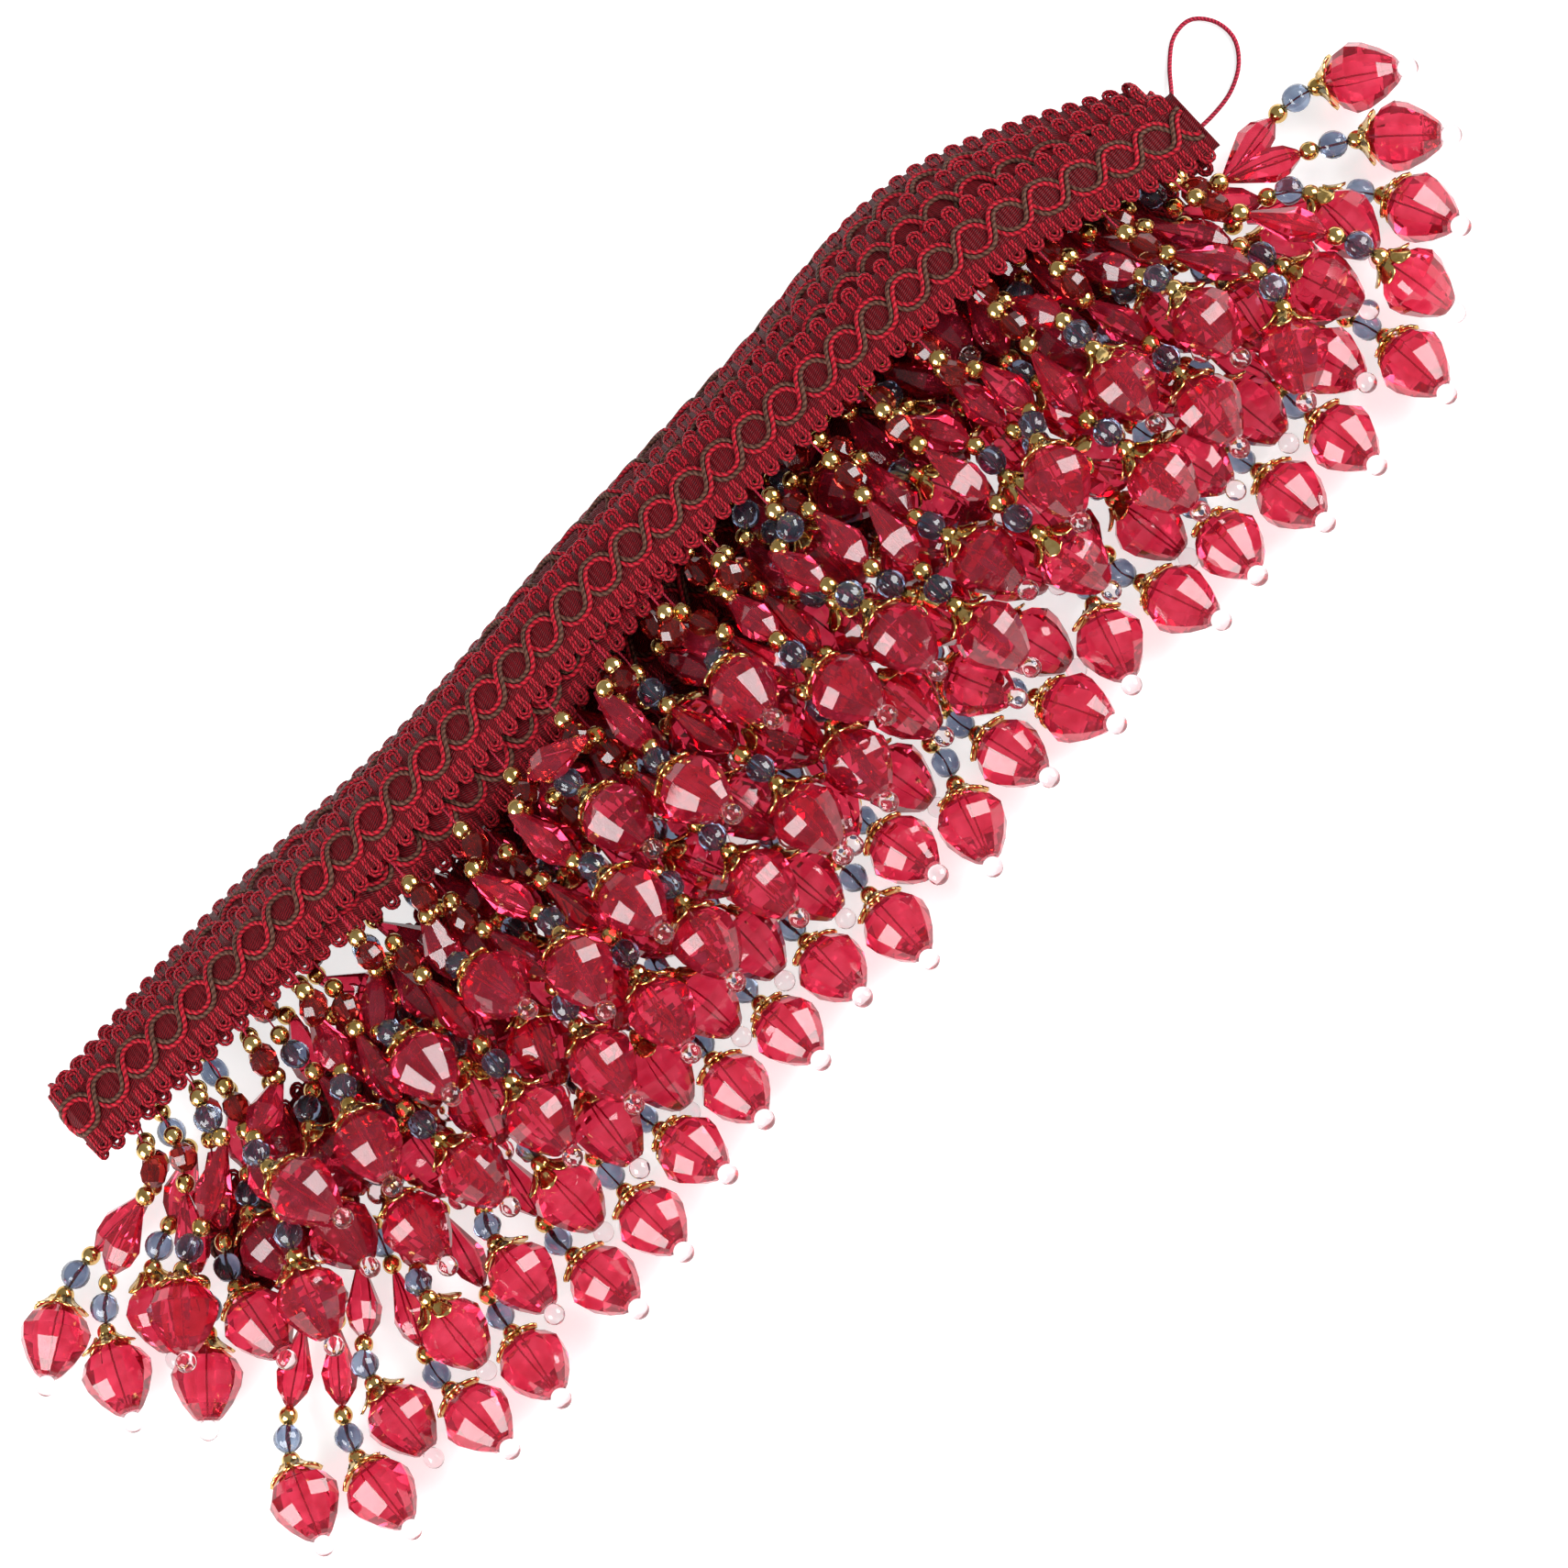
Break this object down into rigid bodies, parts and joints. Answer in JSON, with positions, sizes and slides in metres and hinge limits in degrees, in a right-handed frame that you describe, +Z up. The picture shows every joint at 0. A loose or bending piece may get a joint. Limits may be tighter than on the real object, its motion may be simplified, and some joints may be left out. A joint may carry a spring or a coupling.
{
  "type": "beaded fringe trim",
  "caption": "Gimp braid trim folded back and forth into a hank, with strands of glass beads and metal spacers hanging from one edge, to edge a curtain, cushion or lampshade.",
  "frame": {"origin": "middle of the hank's footprint, on the surface that it lies on", "axes": "+Z up, X along the lays of the braid, -Y towards the tips of the strands"},
  "size_m": [0.3876, 0.1522, 0.042],
  "materials": {
    "gimp": "crimson rayon yarn with a soft sheen, and a brown and crimson chain along the middle",
    "beads": "clear ruby glass, polished, between small polished gold-coloured beads",
    "thread": "dull crimson sewing thread"
  },
  "bodies": {
    "root": {"braid": "gimp", "fringe_1": "beads", "fringe_2": "beads", "fringe_3": "beads", "fringe_4": "beads", "fringe_5": "beads", "fringe_6": "beads", "thread_loop": "thread"}
  },
  "joints": []
}
